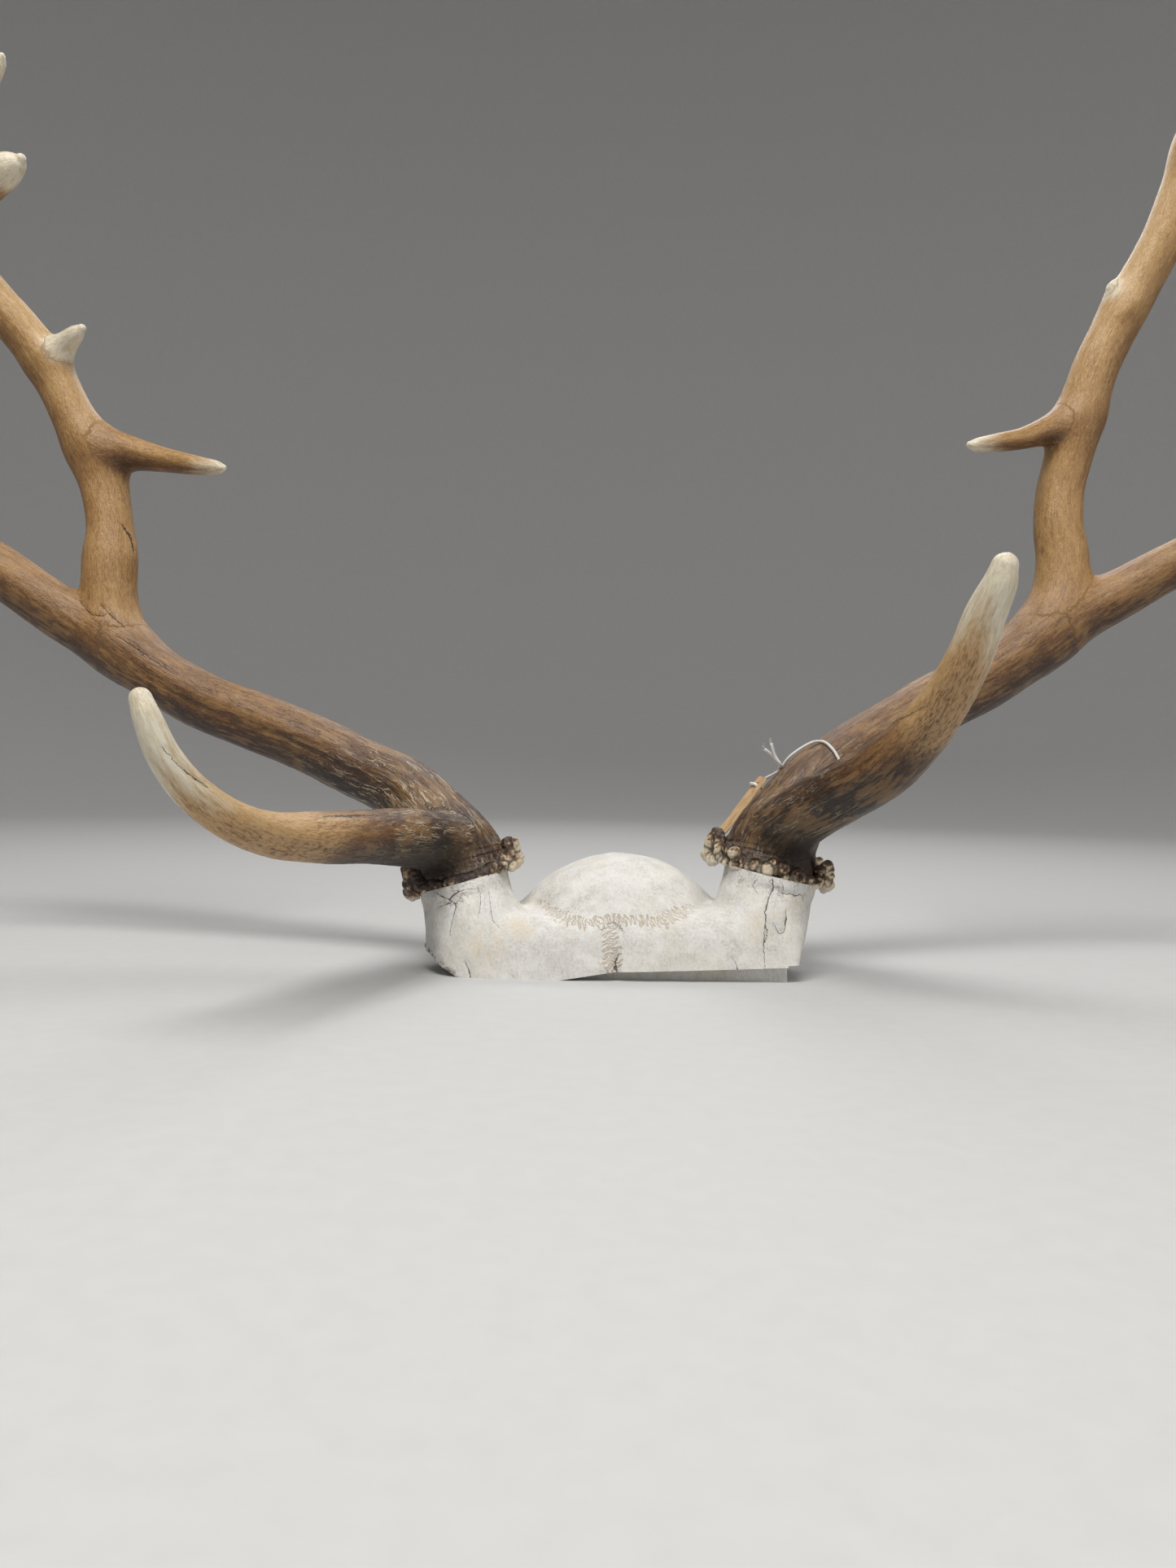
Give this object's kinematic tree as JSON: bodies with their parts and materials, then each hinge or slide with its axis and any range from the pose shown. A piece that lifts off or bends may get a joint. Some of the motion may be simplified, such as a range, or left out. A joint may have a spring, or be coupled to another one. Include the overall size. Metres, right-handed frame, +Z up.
{
  "type": "deer antlers on skull cap",
  "caption": "Pair of red deer antlers grown from a sawn bone skull cap that stands on its flat cut, with a string-tied blank card tag.",
  "frame": {"origin": "On the skull cap's flat saw cut, on the midline, in the middle of the brow's sawn edge: 33 mm in front of the line between the pedicles.", "axes": "+Z up from the saw cut; the brow faces -Y; +X towards the right-hand antler as seen from the front."},
  "size_m": [0.7335, 0.258, 0.4913],
  "materials": {
    "bone": "matt chalk-white bleached bone with faint warm stains",
    "brown_antler": "furrowed dark brown antler with a soft sheen",
    "tan_antler": "smoother tan antler fading to ivory at the tips",
    "cotton": "thin white twisted cotton string",
    "card": "plain tan card, blank"
  },
  "bodies": {
    "root": {"skull_cap": "bone", "left_beam": "brown_antler", "left_brow_tine": "tan_antler", "left_outer_tine": "brown_antler", "left_upper_beam": "tan_antler", "left_inner_tine": "tan_antler", "left_crown_flat_tine": "tan_antler", "left_crown_middle_tine": "tan_antler", "right_beam": "brown_antler", "right_brow_tine": "tan_antler", "right_outer_tine": "brown_antler", "right_upper_beam": "tan_antler", "right_inner_tine": "tan_antler", "right_crown_flat_tine": "tan_antler", "right_crown_middle_tine": "tan_antler", "tag_string": "cotton", "tag": "card"}
  },
  "joints": []
}
